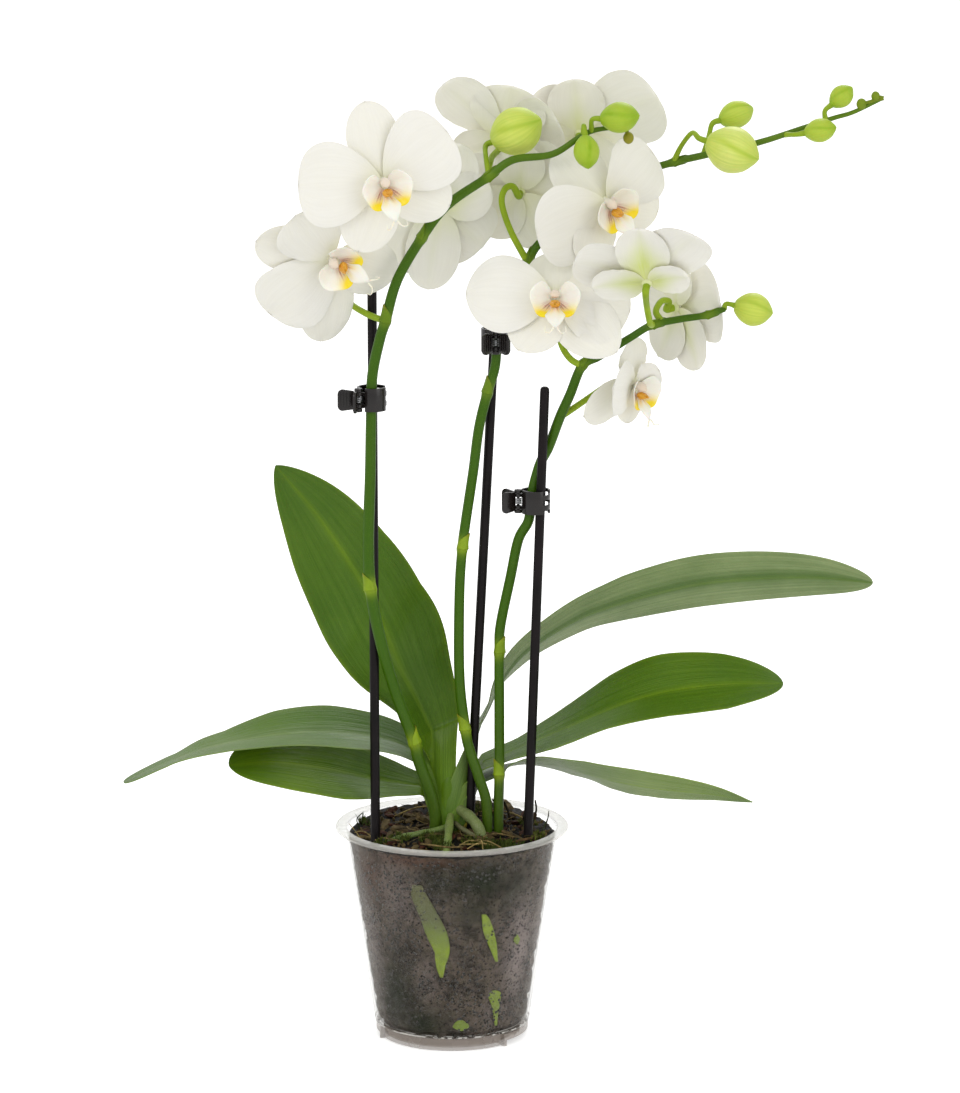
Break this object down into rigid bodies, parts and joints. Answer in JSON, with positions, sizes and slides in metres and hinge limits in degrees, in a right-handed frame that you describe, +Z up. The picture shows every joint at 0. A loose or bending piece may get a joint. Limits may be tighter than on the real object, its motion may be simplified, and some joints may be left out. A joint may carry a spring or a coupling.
{
  "type": "potted orchid",
  "caption": "Moth orchid in a clear nursery pot: arching flower spikes with open blooms and buds, strap leaves and bark mix, each spike held to a support stick by a spring clip.",
  "frame": {"origin": "centre of the pot's underside, on the surface the pot stands on", "axes": "+Z up along the pot's axis; -Y towards the viewer of the picture; +X to the viewer's right"},
  "size_m": [0.385, 0.1326, 0.4991],
  "materials": {
    "pot_plastic": "clear moulded plastic, slightly hazy, fine vertical ribs",
    "bark_mix": "rough damp bark mix",
    "root": "satin green to grey root skin",
    "leaf": "semi-gloss, paler ribbed underside",
    "stem": "satin",
    "stick_plastic": "satin black",
    "clip_plastic": "glossy dark brown",
    "spring_steel": "bright wire",
    "petal": "soft white, thin enough to pass light",
    "lip": "yellow with a red-striped callus and white edges",
    "bud": "smooth satin green"
  },
  "bodies": {
    "plant": {"pot": "pot_plastic", "growing_medium": "bark_mix", "crown_and_roots": "root", "leaf_left_upright": "leaf", "leaf_left_long": "leaf", "leaf_left_low": "leaf", "leaf_right_upper": "leaf", "leaf_right_middle": "leaf", "leaf_right_low": "leaf", "spike_left": "stem", "spike_middle": "stem", "spike_right": "stem", "stick_left": "stick_plastic", "stick_middle": "stick_plastic", "stick_right": "stick_plastic", "clip_left_fixed_jaw": "clip_plastic", "clip_left_spring": "spring_steel", "clip_middle_fixed_jaw": "clip_plastic", "clip_middle_spring": "spring_steel", "clip_right_fixed_jaw": "clip_plastic", "clip_right_spring": "spring_steel", "flower_left_1": "petal", "lip_left_1": "lip", "flower_left_2": "petal", "lip_left_2": "lip", "flower_left_3": "petal", "lip_left_3": "lip", "flower_left_4": "petal", "lip_left_4": "lip", "flower_middle_1": "petal", "lip_middle_1": "lip", "flower_middle_2": "petal", "lip_middle_2": "lip", "flower_middle_3": "petal", "lip_middle_3": "lip", "flower_right_1": "petal", "lip_right_1": "lip", "flower_right_2": "petal", "lip_right_2": "lip", "flower_right_3": "petal", "lip_right_3": "lip", "flower_right_4": "petal", "lip_right_4": "lip", "bud_left_1": "bud", "bud_left_2": "bud", "bud_left_3": "bud", "bud_middle_1": "bud", "bud_middle_2": "bud", "bud_middle_3": "bud", "bud_middle_4": "bud", "bud_right_1": "bud"},
    "jaw_left": {"clip_left_moving_jaw": "clip_plastic"},
    "jaw_middle": {"clip_middle_moving_jaw": "clip_plastic"},
    "jaw_right": {"clip_right_moving_jaw": "clip_plastic"}
  },
  "joints": [
    {"name": "clip_left_hinge", "type": "hinge", "parent": "plant", "child": "jaw_left", "pos_m": [-0.04684, -0.02066, 0.3365], "axis": [0, 0, -1], "range_deg": [0, 32], "stiffness_Nm_per_rad": 0.002, "springref_deg": -20.05},
    {"name": "clip_middle_hinge", "type": "hinge", "parent": "plant", "child": "jaw_middle", "pos_m": [0.0225, -0.0119, 0.3645], "axis": [0, 0, -1], "range_deg": [0, 32], "stiffness_Nm_per_rad": 0.002, "springref_deg": -20.05},
    {"name": "clip_right_hinge", "type": "hinge", "parent": "plant", "child": "jaw_right", "pos_m": [0.0339, -0.012, 0.283], "axis": [0, 0, -1], "range_deg": [0, 32], "stiffness_Nm_per_rad": 0.002, "springref_deg": -20.05}
  ]
}
